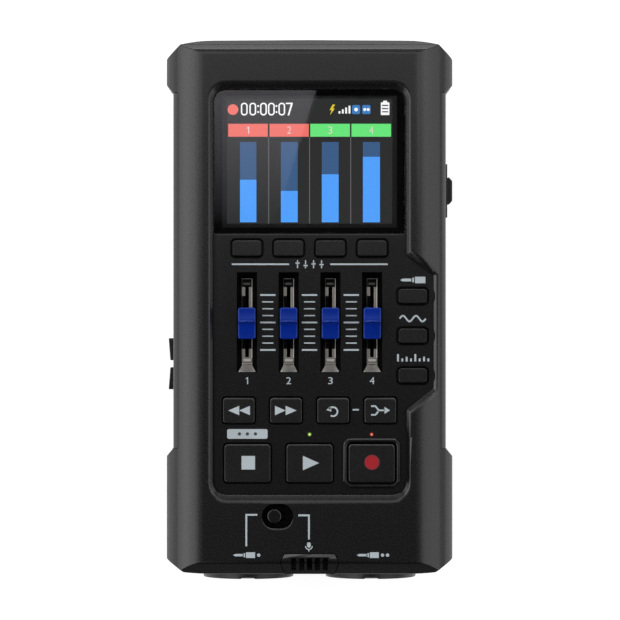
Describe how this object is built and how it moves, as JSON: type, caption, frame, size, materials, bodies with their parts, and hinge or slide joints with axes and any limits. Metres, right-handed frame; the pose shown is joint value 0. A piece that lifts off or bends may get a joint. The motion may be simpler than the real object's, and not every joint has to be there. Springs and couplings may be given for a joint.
{
  "type": "digital multitrack recorder",
  "caption": "Hand-held digital multitrack recorder with a colour screen, blue channel faders, transport keys, side switches and combo input sockets at one end.",
  "frame": {"origin": "centre of the recorder's footprint at the bottom of its rubber feet", "axes": "+X to the right seen from the front, +Y towards the screen end, +Z out of the front face"},
  "size_m": [0.0862, 0.162, 0.048],
  "materials": {
    "case_plastic": "fine matte texture",
    "panel_plastic": "smooth satin black",
    "lens": "clear polished",
    "lcd": "display panel",
    "board": "circuit board",
    "switch_plastic": "moulded",
    "key_plastic": "satin dark grey",
    "knob_blue": "satin blue",
    "steel": "plated steel",
    "jack_plastic": "moulded black",
    "nickel": "nickel plated",
    "black_screw": "black oxide",
    "cell_wrap": "plain wrap",
    "rubber": "matte",
    "light": "translucent light pipe"
  },
  "bodies": {
    "case": {"front_case": "case_plastic", "rear_case": "case_plastic", "control_panel": "panel_plastic", "display_lens": "lens", "lcd_module": "lcd", "main_board": "board", "input_board": "board", "tact_switches": "switch_plastic", "fader_frames": "steel", "input_switch_body": "switch_plastic", "power_switch_body": "switch_plastic", "power_switch_bezel": "key_plastic", "volume_switches": "switch_plastic", "input_a_housing": "jack_plastic", "input_a_insert": "jack_plastic", "input_b_housing": "jack_plastic", "input_b_insert": "jack_plastic", "mic_grille": "case_plastic", "mic_capsule": "nickel", "phones_jack": "jack_plastic", "line_out_jack": "jack_plastic", "usb_port": "nickel", "card_socket": "nickel", "memory_card": "jack_plastic", "card_door_pin": "steel", "batteries": "cell_wrap", "battery_contacts": "nickel", "rubber_feet": "rubber", "case_screws": "black_screw", "board_screws": "nickel", "status_leds": "light"},
    "soft_key_1_cap": {"soft_key_1": "key_plastic"},
    "soft_key_2_cap": {"soft_key_2": "key_plastic"},
    "soft_key_3_cap": {"soft_key_3": "key_plastic"},
    "soft_key_4_cap": {"soft_key_4": "key_plastic"},
    "input_key_cap": {"input_key": "key_plastic"},
    "effect_key_cap": {"effect_key": "key_plastic"},
    "rhythm_key_cap": {"rhythm_key": "key_plastic"},
    "rewind_key_cap": {"rewind_key": "key_plastic"},
    "forward_key_cap": {"forward_key": "key_plastic"},
    "undo_key_cap": {"undo_key": "key_plastic"},
    "bounce_key_cap": {"bounce_key": "key_plastic"},
    "stop_key_cap": {"stop_key": "key_plastic"},
    "play_key_cap": {"play_key": "key_plastic"},
    "record_key_cap": {"record_key": "key_plastic"},
    "fader_1": {"fader_knob_1": "knob_blue", "fader_lever_1": "steel"},
    "fader_2": {"fader_knob_2": "knob_blue", "fader_lever_2": "steel"},
    "fader_3": {"fader_knob_3": "knob_blue", "fader_lever_3": "steel"},
    "fader_4": {"fader_knob_4": "knob_blue", "fader_lever_4": "steel"},
    "input_select": {"input_switch_knob": "key_plastic"},
    "power_slider": {"power_switch_knob": "key_plastic"},
    "volume_up": {"volume_up_button": "key_plastic"},
    "volume_down": {"volume_down_button": "key_plastic"},
    "card_cover": {"card_door": "case_plastic"},
    "battery_cover": {"battery_door": "case_plastic"}
  },
  "joints": [
    {"name": "soft_key_1_press", "type": "slide", "parent": "case", "child": "soft_key_1_cap", "axis": [0, 0, -1], "range_m": [0, 0.0006], "stiffness_N_per_m": 300},
    {"name": "soft_key_2_press", "type": "slide", "parent": "case", "child": "soft_key_2_cap", "axis": [0, 0, -1], "range_m": [0, 0.0006], "stiffness_N_per_m": 300},
    {"name": "soft_key_3_press", "type": "slide", "parent": "case", "child": "soft_key_3_cap", "axis": [0, 0, -1], "range_m": [0, 0.0006], "stiffness_N_per_m": 300},
    {"name": "soft_key_4_press", "type": "slide", "parent": "case", "child": "soft_key_4_cap", "axis": [0, 0, -1], "range_m": [0, 0.0006], "stiffness_N_per_m": 300},
    {"name": "input_key_press", "type": "slide", "parent": "case", "child": "input_key_cap", "axis": [0, 0, -1], "range_m": [0, 0.0006], "stiffness_N_per_m": 300},
    {"name": "effect_key_press", "type": "slide", "parent": "case", "child": "effect_key_cap", "axis": [0, 0, -1], "range_m": [0, 0.0006], "stiffness_N_per_m": 300},
    {"name": "rhythm_key_press", "type": "slide", "parent": "case", "child": "rhythm_key_cap", "axis": [0, 0, -1], "range_m": [0, 0.0006], "stiffness_N_per_m": 300},
    {"name": "rewind_key_press", "type": "slide", "parent": "case", "child": "rewind_key_cap", "axis": [0, 0, -1], "range_m": [0, 0.0006], "stiffness_N_per_m": 300},
    {"name": "forward_key_press", "type": "slide", "parent": "case", "child": "forward_key_cap", "axis": [0, 0, -1], "range_m": [0, 0.0006], "stiffness_N_per_m": 300},
    {"name": "undo_key_press", "type": "slide", "parent": "case", "child": "undo_key_cap", "axis": [0, 0, -1], "range_m": [0, 0.0006], "stiffness_N_per_m": 300},
    {"name": "bounce_key_press", "type": "slide", "parent": "case", "child": "bounce_key_cap", "axis": [0, 0, -1], "range_m": [0, 0.0006], "stiffness_N_per_m": 300},
    {"name": "stop_key_press", "type": "slide", "parent": "case", "child": "stop_key_cap", "axis": [0, 0, -1], "range_m": [0, 0.0006], "stiffness_N_per_m": 300},
    {"name": "play_key_press", "type": "slide", "parent": "case", "child": "play_key_cap", "axis": [0, 0, -1], "range_m": [0, 0.0006], "stiffness_N_per_m": 300},
    {"name": "record_key_press", "type": "slide", "parent": "case", "child": "record_key_cap", "axis": [0, 0, -1], "range_m": [0, 0.0006], "stiffness_N_per_m": 300},
    {"name": "fader_1_slide", "type": "slide", "parent": "case", "child": "fader_1", "axis": [0, 1, 0], "range_m": [-0.0082, 0.0082]},
    {"name": "fader_2_slide", "type": "slide", "parent": "case", "child": "fader_2", "axis": [0, 1, 0], "range_m": [-0.0082, 0.0082]},
    {"name": "fader_3_slide", "type": "slide", "parent": "case", "child": "fader_3", "axis": [0, 1, 0], "range_m": [-0.0082, 0.0082]},
    {"name": "fader_4_slide", "type": "slide", "parent": "case", "child": "fader_4", "axis": [0, 1, 0], "range_m": [-0.0082, 0.0082]},
    {"name": "input_select_slide", "type": "slide", "parent": "case", "child": "input_select", "axis": [1, 0, 0], "range_m": [0, 0.0019]},
    {"name": "power_slide", "type": "slide", "parent": "case", "child": "power_slider", "axis": [0, 1, 0], "range_m": [-0.0025, 0.0025]},
    {"name": "volume_up_press", "type": "slide", "parent": "case", "child": "volume_up", "axis": [1, 0, 0], "range_m": [0, 0.0005], "stiffness_N_per_m": 300},
    {"name": "volume_down_press", "type": "slide", "parent": "case", "child": "volume_down", "axis": [1, 0, 0], "range_m": [0, 0.0005], "stiffness_N_per_m": 300},
    {"name": "card_cover_hinge", "type": "hinge", "parent": "case", "child": "card_cover", "pos_m": [0.0399, -0.022, 0.02965], "axis": [0, 1, 0], "range_deg": [0, 90]},
    {"name": "battery_cover_slide", "type": "slide", "parent": "case", "child": "battery_cover", "axis": [0, 1, 0], "range_m": [0, 0.068]}
  ]
}
